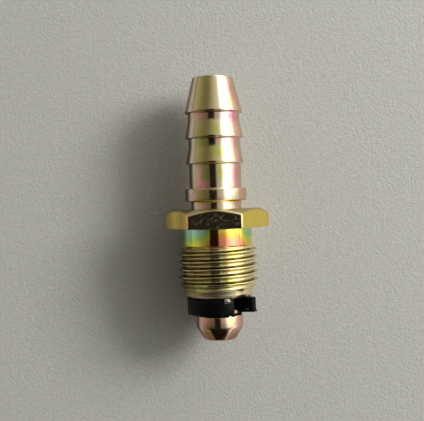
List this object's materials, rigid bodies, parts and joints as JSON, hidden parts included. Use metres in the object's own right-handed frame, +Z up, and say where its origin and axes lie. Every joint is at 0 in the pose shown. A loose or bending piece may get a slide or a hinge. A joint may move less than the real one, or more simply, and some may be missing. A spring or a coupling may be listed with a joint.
{
  "type": "straight male hose connector",
  "caption": "Straight steel hose connector: barbed tail, swivelling male nut with hexagon, split plastic clip and a coned sealing nose.",
  "frame": {"origin": "on the surface that the connector lies on, under its axis, at the middle of its length", "axes": "+Y along the axis towards the end of the hose tail, +Z up from the flat of the hexagon that it lies on, +X to the right of them"},
  "size_m": [0.0206, 0.0518, 0.018],
  "materials": {
    "stem_plating": "zinc plated, thin yellow chromate with pink and green tints",
    "nut_plating": "zinc plated, heavy yellow chromate, iridescent in the undercut",
    "clip_plastic": "moulded black polyamide, satin"
  },
  "bodies": {
    "stem": {"hose_stem": "stem_plating", "retaining_clip": "clip_plastic"},
    "nut": {"swivel_nut": "nut_plating"}
  },
  "joints": [
    {"name": "nut_swivel", "type": "hinge", "parent": "stem", "child": "nut", "pos_m": [0, 0, 0.009], "axis": [0, 1, 0], "continuous": true}
  ]
}
